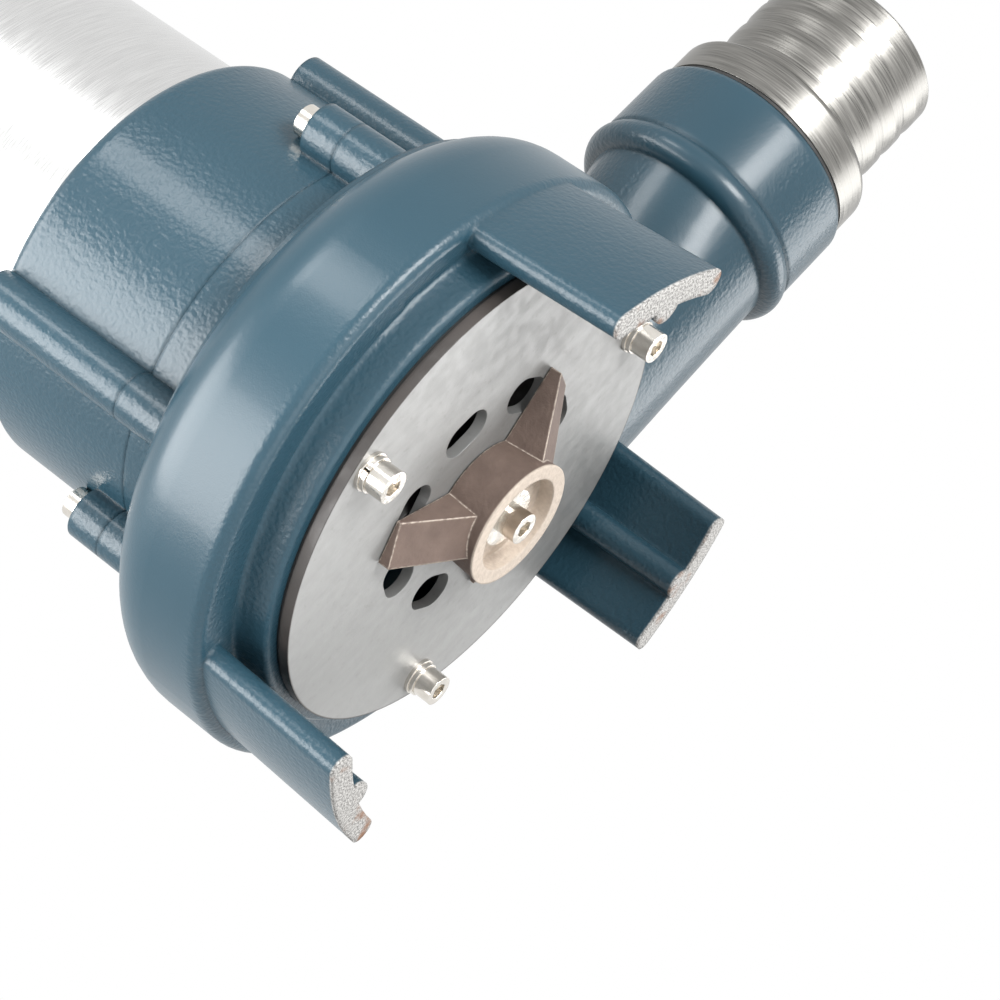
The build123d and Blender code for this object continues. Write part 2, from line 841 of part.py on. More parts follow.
# Sizes of the bearing seat, of the oil plug and of the ring between housing and casing
chamber_radius = housing_radius - housing_wall
bearing_half = lower_bearing_width / 2
bearing_hub_low = shell_low - bearing_hub_depth
bearing_wall_low = shell_low - bearing_wall
bearing_hub_radius = lower_bearing_outside + bearing_seat_wall
bearing_low = bearing_hub_low + lip_seal_width + seal_recess
bearing_mid = bearing_low + bearing_half
bearing_high = bearing_low + lower_bearing_width
plug_root = chamber_radius + plug_boss_rise
plug_seat = housing_radius + plug_boss_rise
plug_hole = plug_seat - chamber_radius + seal_recess
plug_height = (parting + bearing_wall_low) / 2
plug_plane = Plane(
    origin=(axis_x, axis_y, plug_height),
    x_dir=(0, 0, 1),
    z_dir=(cos(radians(plug_turn)), sin(radians(plug_turn)), 0),
)
o_ring_circle = collar_bore - o_ring_wire - 3 * running_gap
o_ring_low = spigot_low + 2 * o_ring_wire
o_ring_mid = o_ring_low + o_ring_wire + running_gap

# Oil chamber housing with its spigot, bearing wall, screw lugs and three long columns
with BuildPart() as oil_housing:
    with BuildSketch(section):
        with BuildLine():
            Polyline(
                (spigot_inner, spigot_low),
                (spigot_outer, spigot_low),
                (spigot_outer, parting),
                (housing_radius, parting),
                (housing_radius, housing_top - rim_round),
            )
            RadiusArc(
                (housing_radius, housing_top - rim_round),
                (housing_radius - rim_round, housing_top),
                -rim_round,
            )
            Polyline(
                (housing_radius - rim_round, housing_top),
                (shell_radius + clearance, housing_top),
                (shell_radius + clearance, shell_low),
                (lower_bearing_outside + bearing_seat_wall, shell_low),
                (lower_bearing_outside + bearing_seat_wall, bearing_high),
                (lower_bearing_outside + fit, bearing_high),
                (lower_bearing_outside + fit, bearing_low),
                (lip_seal_radius + fit, bearing_low),
                (lip_seal_radius + fit, bearing_low - lip_seal_width),
                (seal_seat_radius + seal_bore_gap, bearing_low - lip_seal_width),
                (seal_seat_radius + seal_bore_gap, bearing_hub_low),
                (bearing_hub_radius, bearing_hub_low),
                (bearing_hub_radius, bearing_wall_low),
                (chamber_radius, bearing_wall_low),
                (chamber_radius, parting + chamber_floor),
                (spigot_inner, parting + chamber_floor),
                (spigot_inner, spigot_low),
            )
        make_face()
    revolve(axis=spindle)
    with BuildSketch(level(parting)):
        for angle in leg_angles:
            with PolarLocations(lug_circle, 1, start_angle=angle):
                Circle(lug_radius)
    extrude(amount=lug_height)
    with BuildSketch(level(parting)):
        for angle in column_angles:
            with PolarLocations(column_circle, 1, start_angle=angle):
                Circle(column_radius)
    extrude(amount=housing_top - parting - column_drop)
    with BuildSketch(level(parting + chamber_floor)):
        Circle(chamber_radius)
    extrude(amount=bearing_hub_low - parting - chamber_floor, mode=Mode.SUBTRACT)
    # Boss for the oil plug, and the groove for the ring on the spigot
    with BuildSketch(plug_plane.offset(plug_root)):
        Circle(plug_boss_radius)
    extrude(amount=plug_seat - plug_root)
    with BuildSketch(plug_plane.offset(plug_seat)):
        Circle(plug_radius + fit)
    extrude(amount=-plug_hole, mode=Mode.SUBTRACT)
    with BuildSketch(level(o_ring_low)):
        Circle(collar_bore)
        Circle(o_ring_circle - o_ring_wire - running_gap, mode=Mode.SUBTRACT)
    extrude(amount=2 * (o_ring_wire + running_gap), mode=Mode.SUBTRACT)
    with BuildSketch(level(shell_low)):
        Circle(shell_radius + clearance)
        Circle(lower_bearing_outside + bearing_seat_wall, mode=Mode.SUBTRACT)
    extrude(amount=housing_height, mode=Mode.SUBTRACT)
    with BuildSketch(level(parting + lug_height)):
        for angle in leg_angles:
            with PolarLocations(lug_circle, 1, start_angle=angle):
                Circle(m6 + clearance)
    extrude(amount=-lug_height, mode=Mode.SUBTRACT)
    with BuildSketch(level(spigot_low)):
        with PolarLocations(plate_bolt_circle, seal_plate_screw_count, start_angle=45):
            Circle(m5 + fit)
    extrude(amount=seal_plate_tap_depth, mode=Mode.SUBTRACT)
    with BuildSketch(level(shell_low)):
        with PolarLocations(tie_circle, tie_count, start_angle=tie_turn):
            Circle(tie_radius + fit)
    extrude(amount=-tie_thread, mode=Mode.SUBTRACT)
keep(oil_housing.part, "oil_housing")

with BuildPart() as casing_o_ring:
    with BuildSketch(section):
        with Locations((o_ring_circle, o_ring_mid)):
            RegularPolygon(o_ring_wire, 8)
    revolve(axis=spindle)
keep(casing_o_ring.part, "casing_o_ring")

lug_top = parting + lug_height
with BuildPart() as casing_screws:
    for angle in leg_angles:
        with BuildSketch(level(lug_top)):
            with PolarLocations(lug_circle, 1, start_angle=angle):
                Circle(m6_head)
        extrude(amount=m6_head_height)
        with BuildSketch(level(lug_top)):
            with PolarLocations(lug_circle, 1, start_angle=angle):
                Circle(m6)
        extrude(amount=clearance - lug_height - lug_tap_depth)
        with BuildSketch(level(lug_top + m6_head_height)):
            with PolarLocations(lug_circle, 1, start_angle=angle):
                RegularPolygon(m6_socket, 6)
        extrude(amount=-m6_head_height / 2, mode=Mode.SUBTRACT)
keep(casing_screws.part, "casing_screws")

lip_seal_low = bearing_low - lip_seal_width
lip_seal_high = bearing_low - running_gap
lip_seal = ring("lip_seal", lip_seal_radius, seal_seat_radius + running_gap, lip_seal_low, lip_seal_high)

with BuildPart() as oil_plug_washer:
    with BuildSketch(plug_plane.offset(plug_seat)):
        Circle(plug_boss_radius - plug_washer_thickness)
        Circle(plug_radius + clearance, mode=Mode.SUBTRACT)
    extrude(amount=plug_washer_thickness)
keep(oil_plug_washer.part, "oil_plug_washer")

with BuildPart() as oil_plug:
    with BuildSketch(plug_plane.offset(plug_seat + plug_washer_thickness)):
        RegularPolygon(plug_head_radius, 6)
    extrude(amount=plug_head_height)
    with BuildSketch(plug_plane.offset(plug_seat + plug_washer_thickness)):
        Circle(plug_radius)
    extrude(amount=-plug_hole)
keep(oil_plug.part, "oil_plug")


def ball_bearing(prefix, bore, outside, width, middle):
    """Deep groove bearing: two grooved rings, a pierced cage and its balls."""
    pitch = (bore + outside) / 2
    ball = (outside - bore) * ball_share
    shoulder = ball * shoulder_share
    rim = shoulder / 2
    with BuildPart() as inner_ring:
        with BuildSketch(section):
            with Locations(((bore + pitch - shoulder) / 2, middle)):
                Rectangle(pitch - shoulder - bore, width)
            with Locations((pitch, middle)):
                Circle(ball + running_gap, mode=Mode.SUBTRACT)
        revolve(axis=spindle)
    keep(inner_ring.part, prefix + "_inner_ring")
    with BuildPart() as outer_ring:
        with BuildSketch(section):
            with Locations(((outside + pitch + shoulder) / 2, middle)):
                Rectangle(outside - pitch - shoulder, width)
            with Locations((pitch, middle)):
                Circle(ball + running_gap, mode=Mode.SUBTRACT)
        revolve(axis=spindle)
    keep(outer_ring.part, prefix + "_outer_ring")
    with BuildPart(level(middle)) as balls:
        with PolarLocations(pitch, ball_count):
            Sphere(ball)
    keep(balls.part, prefix + "_balls")
    with BuildPart(level(middle)) as cage:
        with BuildSketch(level(middle - width * cage_share / 2)):
            Circle(pitch + rim)
            Circle(pitch - rim, mode=Mode.SUBTRACT)
        extrude(amount=width * cage_share)
        with PolarLocations(pitch, ball_count):
            Cylinder(ball + running_gap, pitch / 2, rotation=(0, 90, 0), mode=Mode.SUBTRACT)
    keep(cage.part, prefix + "_cage")


# Motor heights and the radius of what is pressed into the shell
bracket_radius = shell_radius - shell_wall - running_gap
stator_low = shell_low + rotor_lift
stator_high = stator_low + stator_length
bracket_low = stator_high + winding_height + bracket_cap
bracket_top = bracket_low + bracket_thickness
upper_bearing_low = bracket_low - cover_step
upper_bearing_high = upper_bearing_low + upper_bearing_width
bracket_bore_top = upper_bearing_high + wave_height
bracket_hub_top = bracket_bore_top + bracket_cap
shaft_top = upper_bearing_high + running_gap

ball_bearing("lower_bearing", seal_seat_radius + fit, lower_bearing_outside, lower_bearing_width, bearing_mid)
ball_bearing(
    "upper_bearing",
    upper_seat_radius + fit,
    upper_bearing_outside,
    upper_bearing_width,
    upper_bearing_low + upper_bearing_width / 2,
)

# Shaft: stepped for the cutter, impeller, seal, bearings and rotor
rotor_step_low = stator_low - end_ring_height - ring_step
rotor_step_high = stator_high + end_ring_height + ring_step
with BuildPart() as shaft:
    with BuildSketch(section):
        with BuildLine():
            Polyline(
                (0, shaft_low),
                (cutter_seat_radius - shaft_chamfer, shaft_low),
                (cutter_seat_radius, shaft_low + shaft_chamfer),
                (cutter_seat_radius, boss_top),
                (impeller_seat_radius, boss_top),
                (impeller_seat_radius, hub_top),
                (seal_seat_radius, hub_top),
                (seal_seat_radius, circlip_low - running_gap),
                (circlip_seat, circlip_low - running_gap),
                (circlip_seat, circlip_top + running_gap),
                (seal_seat_radius, circlip_top + running_gap),
                (seal_seat_radius, bearing_high),
                (shaft_shoulder, bearing_high),
                (shaft_shoulder, rotor_step_low),
                (rotor_seat_radius, rotor_step_low),
                (rotor_seat_radius, rotor_step_high),
                (upper_step_radius, rotor_step_high),
                (upper_step_radius, upper_bearing_low),
                (upper_seat_radius, upper_bearing_low),
                (upper_seat_radius, shaft_top - shaft_chamfer),
                (upper_seat_radius - shaft_chamfer, shaft_top),
                (0, shaft_top),
                (0, shaft_low),
            )
        make_face()
    revolve(axis=spindle)
    with BuildSketch(level(shaft_low)):
        with Locations((cutter_key_circle, 0)):
            Rectangle(cutter_key_width + 2 * fit, cutter_key_width + 2 * fit)
    extrude(amount=boss_top - shaft_low, mode=Mode.SUBTRACT)
    with BuildSketch(level(boss_top)):
        with Locations((impeller_key_circle, 0)):
            Rectangle(impeller_key_width + 2 * fit, impeller_key_width + 2 * fit)
    extrude(amount=hub_top - boss_top, mode=Mode.SUBTRACT)
    with BuildSketch(level(shaft_low)):
        Circle(m6 + fit)
    extrude(amount=shaft_tap_depth, mode=Mode.SUBTRACT)
keep(shaft.part, "shaft")

# Rotor and stator
rotor_radius = stator_bore - air_gap
rotor_core = ring("rotor_core", rotor_radius, rotor_seat_radius + fit, stator_low, stator_high)
with BuildPart() as rotor_end_rings:
    for low in (stator_low - end_ring_height, stator_high):
        with BuildSketch(level(low)):
            Circle(rotor_radius - air_gap)
            Circle(rotor_seat_radius + ring_step, mode=Mode.SUBTRACT)
        extrude(amount=end_ring_height)
keep(rotor_end_rings.part, "rotor_end_rings")

with BuildPart() as stator_core:
    with BuildSketch(level(stator_low)):
        Circle(bracket_radius)
        Circle(stator_bore, mode=Mode.SUBTRACT)
        with PolarLocations(tie_circle, tie_count, start_angle=tie_turn):
            Circle(tie_radius + clearance, mode=Mode.SUBTRACT)
    extrude(amount=stator_length)
keep(stator_core.part, "stator_core")

with BuildPart() as stator_windings:
    for low in (stator_low - winding_height, stator_high):
        with BuildSketch(section) as bundle:
            with Locations(((winding_inner + winding_outer) / 2, low + winding_height / 2)):
                Rectangle(winding_outer - winding_inner, winding_height)
            chamfer(bundle.vertices(), winding_chamfer)
        revolve(axis=spindle)
keep(stator_windings.part, "stator_windings")

# Motor shell between two flat seals
tube_low = shell_low + shell_seal_thickness
tube_top = shell_top - shell_seal_thickness
motor_shell = ring("motor_shell", shell_radius, shell_radius - shell_wall, tube_low, tube_top)
lower_shell_seal = ring("lower_shell_seal", shell_radius, shell_radius - bracket_rim, shell_low, tube_low)
upper_shell_seal = ring("upper_shell_seal", shell_radius, shell_radius - bracket_rim, tube_top, shell_top)

# Upper bearing bracket, wave spring and the long screws that clamp the motor
bracket_hub_radius = upper_bearing_outside + bracket_hub_wall
with BuildPart() as bearing_bracket:
    with BuildSketch(section):
        with BuildLine():
            Polyline(
                (0, bracket_bore_top),
                (upper_bearing_outside + fit, bracket_bore_top),
                (upper_bearing_outside + fit, upper_bearing_low),
                (bracket_hub_radius, upper_bearing_low),
                (bracket_hub_radius, bracket_low),
                (bracket_radius, bracket_low),
                (bracket_radius, tube_top),
                (bracket_radius - bracket_rim, tube_top),
                (bracket_radius - bracket_rim, bracket_top),
                (bracket_hub_radius, bracket_top),
                (bracket_hub_radius, bracket_hub_top),
                (0, bracket_hub_top),
                (0, bracket_bore_top),
            )
        make_face()
    revolve(axis=spindle)
    with BuildSketch(level(bracket_low)):
        with PolarLocations(tie_circle, tie_count, start_angle=tie_turn):
            Circle(tie_radius + clearance)
        with PolarLocations((bracket_hub_radius + tie_circle) / 2, bracket_window_count):
            Circle(bracket_window)
    extrude(amount=bracket_thickness, mode=Mode.SUBTRACT)
keep(bearing_bracket.part, "bearing_bracket")
wave_spring = ring(
    "wave_spring",
    upper_bearing_outside - clearance,
    upper_bearing_outside - ring_step,
    upper_bearing_high + running_gap,
    bracket_bore_top - running_gap,
)

cover_face = shell_top
handle_hole = (handle_span + handle_foot) / 2
capacitor_height = bracket_hub_top + capacitor_radius + running_gap
tie_seat = cover_face + tie_well_depth
with BuildPart() as tie_screws:
    with BuildSketch(level(tie_seat)):
        with PolarLocations(tie_circle, tie_count, start_angle=tie_turn):
            Circle(m5_head)
    extrude(amount=m5_head_height)
    with BuildSketch(level(tie_seat)):
        with PolarLocations(tie_circle, tie_count, start_angle=tie_turn):
            Circle(tie_radius)
    extrude(amount=shell_low - tie_thread + clearance - tie_seat)
    with BuildSketch(level(tie_seat + m5_head_height)):
        with PolarLocations(tie_circle, tie_count, start_angle=tie_turn):
            RegularPolygon(m5_socket, 6)
    extrude(amount=-m5_head_height / 2, mode=Mode.SUBTRACT)
keep(tie_screws.part, "tie_screws")

# Top cover: skirt over the shell, domed shoulder, screw wells and cable gland boss
cover_chamber = cover_radius - cover_step - cover_ring_wall
cover_outer = cover_radius - cover_step
gland_top = cover_top + gland_boss_height
with BuildPart() as top_cover:
    with BuildSketch(section):
        with BuildLine():
            Polyline(
                (shell_radius + clearance, cover_low),
                (cover_radius, cover_low),
                (cover_radius, cover_low + cover_skirt),
                (cover_outer, cover_low + cover_skirt + cover_step),
                (cover_outer, cover_top - cover_round),
            )
            RadiusArc(
                (cover_outer, cover_top - cover_round),
                (cover_outer - cover_round, cover_top),
                -cover_round,
            )
            Polyline(
                (cover_outer - cover_round, cover_top),
                (0, cover_top),
                (0, cover_top - cover_wall),
                (cover_chamber, cover_top - cover_wall),
                (cover_chamber, cover_face),
                (shell_radius + clearance, cover_face),
                (shell_radius + clearance, cover_low),
            )
        make_face()
    revolve(axis=spindle)
    with BuildSketch(level(cover_top - cover_step)):
        with Locations((0, gland_offset)):
            Circle(gland_boss_radius)
    extrude(amount=gland_boss_height + cover_step)
    with BuildSketch(level(gland_top)):
        with Locations((0, gland_offset)):
            Circle(gland_thread_radius + fit)
    extrude(amount=-gland_thread_length - clearance, mode=Mode.SUBTRACT)
    with BuildSketch(level(gland_top)):
        with Locations((0, gland_offset)):
            Circle(gland_bore + gland_lip)
    extrude(amount=-gland_boss_height - cover_wall, mode=Mode.SUBTRACT)
    with BuildSketch(level(tie_seat)):
        with PolarLocations(tie_circle, tie_count, start_angle=tie_turn):
            Circle(m5_head + 2 * clearance)
    extrude(amount=cover_height, mode=Mode.SUBTRACT)
    with BuildSketch(level(cover_face)):
        with PolarLocations(tie_circle, tie_count, start_angle=tie_turn):
            Circle(tie_radius + clearance)
    extrude(amount=cover_height, mode=Mode.SUBTRACT)
    with BuildSketch(level(cover_top)):
        with Locations((handle_hole, 0), (-handle_hole, 0)):
            Circle(m6 + fit)
    extrude(amount=-cover_wall, mode=Mode.SUBTRACT)
keep(top_cover.part, "top_cover")

# Handle: a flat bar bent to a bow with two feet
with BuildPart() as handle:
    with BuildSketch(section) as bow:
        with Locations((0, cover_top + handle_rise / 2)):
            Rectangle(handle_span, handle_rise)
        fillet(bow.vertices().group_by(Axis.Y)[-1], handle_corner)
        with Locations((0, cover_top + (handle_rise - handle_thickness) / 2)):
            Rectangle(handle_span - 2 * handle_thickness, handle_rise - handle_thickness, mode=Mode.SUBTRACT)
        with Locations((0, cover_top + handle_thickness / 2)):
            Rectangle(handle_span + 2 * handle_foot, handle_thickness)
            Rectangle(handle_span - 2 * handle_thickness, handle_thickness, mode=Mode.SUBTRACT)
    extrude(amount=handle_width / 2, both=True)
    with BuildSketch(level(cover_top)):
        with Locations((handle_hole, 0), (-handle_hole, 0)):
            Circle(m6 + clearance)
    extrude(amount=handle_thickness, mode=Mode.SUBTRACT)
keep(handle.part, "handle")

handle_seat = cover_top + handle_thickness
with BuildPart() as handle_screws:
    with BuildSketch(level(handle_seat)):
        with Locations((handle_hole, 0), (-handle_hole, 0)):
            Circle(m6_head)
    extrude(amount=m6_head_height)
    with BuildSketch(level(handle_seat)):
        with Locations((handle_hole, 0), (-handle_hole, 0)):
            Circle(m6)
    extrude(amount=clearance - handle_thickness - cover_wall)
    with BuildSketch(level(handle_seat + m6_head_height)):
        with Locations((handle_hole, 0), (-handle_hole, 0)):
            RegularPolygon(m6_socket, 6)
    extrude(amount=-m6_head_height / 2, mode=Mode.SUBTRACT)
keep(handle_screws.part, "handle_screws")

# Cable gland: rubber sleeve pressed by a hexagon nut
sleeve_low = gland_top - gland_thread_length - clearance + running_gap
with BuildPart() as gland_sleeve:
    with BuildSketch(level(sleeve_low)):
        with Locations((0, gland_offset)):
            Circle(gland_sleeve_radius)
            Circle(gland_bore, mode=Mode.SUBTRACT)
    extrude(amount=gland_top + gland_lip - running_gap - sleeve_low)
keep(gland_sleeve.part, "gland_sleeve")

with BuildPart() as gland_nut:
    with BuildSketch(level(gland_top)):
        with Locations((0, gland_offset)):
            RegularPolygon(gland_nut_radius, 6)
    extrude(amount=gland_nut_height)
    with BuildSketch(level(gland_top)):
        with Locations((0, gland_offset)):
            Circle(gland_thread_radius)
    extrude(amount=-gland_thread_length)
    with BuildSketch(level(gland_top - gland_thread_length)):
        with Locations((0, gland_offset)):
            Circle(gland_sleeve_radius + running_gap)
    extrude(amount=gland_thread_length + gland_lip, mode=Mode.SUBTRACT)
    with BuildSketch(level(gland_top)):
        with Locations((0, gland_offset)):
            Circle(gland_bore)
    extrude(amount=gland_nut_height, mode=Mode.SUBTRACT)
keep(gland_nut.part, "gland_nut")

# Starting capacitor, lying across the top of the bearing bracket
capacitor_end = Plane(origin=(axis_x - capacitor_length / 2, axis_y, capacitor_height), z_dir=(1, 0, 0))
with BuildPart() as capacitor:
    with BuildSketch(capacitor_end):
        Circle(capacitor_radius)
    extrude(amount=capacitor_length)
keep(capacitor.part, "capacitor")
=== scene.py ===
# %% [markdown]
# # A sewage cutter pump, seen from below
#
# The pump stands on three cast legs with its shaft upright. Under it sits the suction plate with its
# clawed cutter, round that the painted volute casing, and above it the oil chamber and the steel motor.
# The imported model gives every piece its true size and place, so this lesson is about the finish:
# thick enamel over a rough casting, ground steel, a cast cutter and bright screws.

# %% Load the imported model
import json
import math

import bpy
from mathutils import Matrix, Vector


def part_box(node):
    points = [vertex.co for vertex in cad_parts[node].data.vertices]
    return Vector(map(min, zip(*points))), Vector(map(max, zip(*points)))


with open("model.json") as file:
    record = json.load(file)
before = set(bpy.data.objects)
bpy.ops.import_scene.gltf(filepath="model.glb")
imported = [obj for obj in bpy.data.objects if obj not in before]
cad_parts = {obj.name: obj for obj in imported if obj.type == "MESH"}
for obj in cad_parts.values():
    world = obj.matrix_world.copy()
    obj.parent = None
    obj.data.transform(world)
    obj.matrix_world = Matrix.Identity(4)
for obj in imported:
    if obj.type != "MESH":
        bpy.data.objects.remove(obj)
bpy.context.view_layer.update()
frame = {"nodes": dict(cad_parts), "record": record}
nodes = frame["nodes"]

# %% [markdown]
# ## The camera
#
# The photographer stood low and looked up at the suction side, with the camera rolled so that the motor
# runs off to the upper left. A long lens of about 94 mm keeps the three legs nearly the same size.

# %% Add the camera
scene = bpy.context.scene
bpy.ops.object.camera_add(
    location=(-0.31729, -0.65367, -0.25154),
    rotation=(math.radians(124.8413), math.radians(48.8050), math.radians(6.5898)),
)
camera = bpy.context.object
camera.name = "photo_camera"
camera.data.lens = 93.6
camera.data.sensor_width = 36.0
scene.camera = camera
print("camera:", camera.name, "lens", camera.data.lens)

# %% [markdown]
# ## Small helpers for shader nodes
#
# Every material below is a small network. One helper adds a node and fills its sockets with constants or
# links, and the others name the sums that come back often.

# %% Shader node helpers


def add_node(tree, kind, values=(), **properties):
    """Add a shader node, set its properties and fill its sockets, by name or by position."""
    made = tree.nodes.new("ShaderNode" + kind)
    for name, value in properties.items():
        setattr(made, name, value)
    pairs = values.items() if isinstance(values, dict) else enumerate(values)
    for key, value in pairs:
        if isinstance(value, bpy.types.NodeSocket):
            tree.links.new(value, made.inputs[key])
        elif value is not None:
            made.inputs[key].default_value = value
    return made


def calc(tree, operation, *values):
    """The result of a Math node."""
    return add_node(tree, "Math", values, operation=operation).outputs[0]


def ramp(tree, value, low, high, to_low=0.0, to_high=1.0):
    """A value mapped smoothly from one range to another and held at its ends."""
    values = {"Value": value, "From Min": low, "From Max": high, "To Min": to_low, "To Max": to_high}
    return add_node(tree, "MapRange", values, interpolation_type="SMOOTHSTEP").outputs["Result"]


def blend(tree, factor, first, second):
    """Two colours mixed by a factor."""
    mixed = add_node(tree, "Mix", {"Factor": factor}, data_type="RGBA")
    for key, colour in ((6, first), (7, second)):
        if isinstance(colour, bpy.types.NodeSocket):
            tree.links.new(colour, mixed.inputs[key])
        else:
            mixed.inputs[key].default_value = (*colour, 1.0)
    return mixed.outputs[2]


def place_of(tree):
    """Object coordinates, which for every piece here are metres in the pump's own frame."""
    return add_node(tree, "TexCoord").outputs["Object"]


def noise(tree, scale, detail=2.0, stretch=None, roughness=0.5):
    """Fractal noise in object coordinates, stretched along an axis where one is given."""
    place = place_of(tree)
    if stretch:
        place = add_node(tree, "VectorMath", (place, stretch), operation="MULTIPLY").outputs[0]
    values = {"Vector": place, "Scale": scale, "Detail": detail, "Roughness": roughness}
    return add_node(tree, "TexNoise", values).outputs["Fac"]


def new_group(name, inputs, outputs):
    """An empty node group with named sockets, and its input and output nodes."""
    group = bpy.data.node_groups.new(name, "ShaderNodeTree")
    for label, kind, value in inputs:
        socket = group.interface.new_socket(label, in_out="INPUT", socket_type=kind)
        socket.default_value = value
    for label, kind in outputs:
        group.interface.new_socket(label, in_out="OUTPUT", socket_type=kind)
    return group, group.nodes.new("NodeGroupInput"), group.nodes.new("NodeGroupOutput")


def use_group(tree, group, **values):
    """A group placed in a material, with its sockets filled."""
    made = tree.nodes.new("ShaderNodeGroup")
    made.node_tree = group
    for key, value in values.items():
        if isinstance(value, bpy.types.NodeSocket):
            tree.links.new(value, made.inputs[key])
        else:
            made.inputs[key].default_value = value
    return made


# %% [markdown]
# ## Shared effects
#
# Three effects serve several finishes. `cast_skin` rounds the edges in the shading and lays a bumpy skin
# over them, as thick paint on a sand casting has. `worn_edge` finds the edges by comparing the rounded
# normal with the true one. `from_shaft` measures how far a point lies from the shaft, for the finishes
# that change with the radius.

# %% Make the shared node groups
FLOAT = "NodeSocketFloat"
cast_skin, skin_in, skin_out = new_group(
    "cast_skin",
    [("Radius", FLOAT, 0.001), ("Coarse", FLOAT, 0.5), ("Fine", FLOAT, 0.3), ("Grain", FLOAT, 600.0)],
    [("Normal", "NodeSocketVector"), ("Height", FLOAT)],
)
rounded = add_node(cast_skin, "Bevel", {"Radius": skin_in.outputs["Radius"]}, samples=6).outputs[0]
coarse_noise = add_node(
    cast_skin, "TexNoise",
    {"Vector": place_of(cast_skin), "Scale": skin_in.outputs["Grain"], "Detail": 1.5, "Roughness": 0.4},
).outputs["Fac"]
fine_scale = calc(cast_skin, "MULTIPLY", skin_in.outputs["Grain"], 3.1)
fine_noise = add_node(
    cast_skin, "TexNoise", {"Vector": place_of(cast_skin), "Scale": fine_scale, "Detail": 2.0},
).outputs["Fac"]
coarse_bump = add_node(
    cast_skin, "Bump",
    {"Strength": skin_in.outputs["Coarse"], "Distance": 0.0009, "Height": coarse_noise, "Normal": rounded},
).outputs[0]
fine_bump = add_node(
    cast_skin, "Bump",
    {"Strength": skin_in.outputs["Fine"], "Distance": 0.0003, "Height": fine_noise, "Normal": coarse_bump},
).outputs[0]
cast_skin.links.new(fine_bump, skin_out.inputs["Normal"])
cast_skin.links.new(coarse_noise, skin_out.inputs["Height"])

worn_edge, edge_in, edge_out = new_group(
    "worn_edge", [("Radius", FLOAT, 0.0008), ("Reach", FLOAT, 0.12)], [("Mask", FLOAT)]
)
edge_normal = add_node(worn_edge, "Bevel", {"Radius": edge_in.outputs["Radius"]}, samples=6).outputs[0]
true_normal = add_node(worn_edge, "NewGeometry").outputs["Normal"]
both_normals = (edge_normal, true_normal)
likeness = add_node(worn_edge, "VectorMath", both_normals, operation="DOT_PRODUCT").outputs["Value"]
bend = calc(worn_edge, "SUBTRACT", 1.0, likeness)
patches = ramp(worn_edge, noise(worn_edge, 900.0, 3.0), 0.38, 0.62, 0.2, 1.6)
broken = calc(worn_edge, "MULTIPLY", bend, patches)
edge_share = calc(worn_edge, "DIVIDE", broken, edge_in.outputs["Reach"])
edge_mask = add_node(worn_edge, "Clamp", {"Value": edge_share}).outputs[0]
worn_edge.links.new(edge_mask, edge_out.inputs["Mask"])

shaft_low, shaft_high = (Vector(corner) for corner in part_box("shaft"))
shaft_middle = (shaft_low + shaft_high) / 2
from_shaft, shaft_in, shaft_out = new_group("from_shaft", [], [("Radius", FLOAT), ("Height", FLOAT)])
shaft_foot = (shaft_middle.x, shaft_middle.y, 0.0)
both_places = (place_of(from_shaft), shaft_foot)
offset = add_node(from_shaft, "VectorMath", both_places, operation="SUBTRACT").outputs[0]
offset_parts = add_node(from_shaft, "SeparateXYZ", (offset,)).outputs
across = add_node(from_shaft, "CombineXYZ", (offset_parts["X"], offset_parts["Y"], 0.0)).outputs[0]
reach = add_node(from_shaft, "VectorMath", (across,), operation="LENGTH").outputs["Value"]
from_shaft.links.new(reach, shaft_out.inputs["Radius"])
from_shaft.links.new(offset_parts["Z"], shaft_out.inputs["Height"])
print("node groups:", [group.name for group in bpy.data.node_groups])

# %% [markdown]
# ## The enamel
#
# The paint is a deep sea blue, thick and glossy. On the volute's broad side it has flowed smooth, while
# the ridge below it and the oil chamber above keep the orange peel of the casting. The ends of the legs
# were ground after painting: they are bare grey iron, with specks and a tinge of rust.

# %% Paint the castings


def new_material(name):
    """A material with its tree and its Principled shader."""
    material = bpy.data.materials.new(name)
    material.use_nodes = True
    return material, material.node_tree, material.node_tree.nodes["Principled BSDF"]


def fill(tree, shader, **values):
    """Fill the shader's sockets; an underscore in a name stands for a space."""
    for key, value in values.items():
        socket = shader.inputs[key.replace("_", " ")]
        if isinstance(value, bpy.types.NodeSocket):
            tree.links.new(value, socket)
        elif socket.type == "RGBA":
            socket.default_value = (*value, 1.0)
        else:
            socket.default_value = value


wall_low = 0.054
wall_high = 0.086
bare_up_to = 0.0003
painted_from = 0.0012
made = {}

made["blue_enamel"], tree, shader = new_material("blue_enamel")
height = use_group(tree, from_shaft).outputs["Height"]
above_ridge = ramp(tree, height, wall_low - 0.004, wall_low + 0.004)
below_crown = ramp(tree, height, wall_high, wall_high + 0.006, 1.0, 0.0)
smooth_wall = calc(tree, "MULTIPLY", above_ridge, below_crown)
peel = ramp(tree, smooth_wall, 0.0, 1.0, 0.28, 0.03)
skin = use_group(tree, cast_skin, Radius=0.0022, Coarse=peel, Fine=0.12, Grain=680.0)
pigment = blend(tree, noise(tree, 14.0, 3.0), (0.011, 0.034, 0.050), (0.019, 0.050, 0.070))
bare = ramp(tree, height, bare_up_to, painted_from, 1.0, 0.0)
speckle = ramp(tree, noise(tree, 1500.0, 4.0), 0.35, 0.65)
specks = blend(tree, speckle, (0.16, 0.155, 0.15), (0.50, 0.49, 0.47))
rusty = blend(tree, ramp(tree, noise(tree, 90.0, 3.0), 0.55, 0.72), specks, (0.20, 0.10, 0.055))
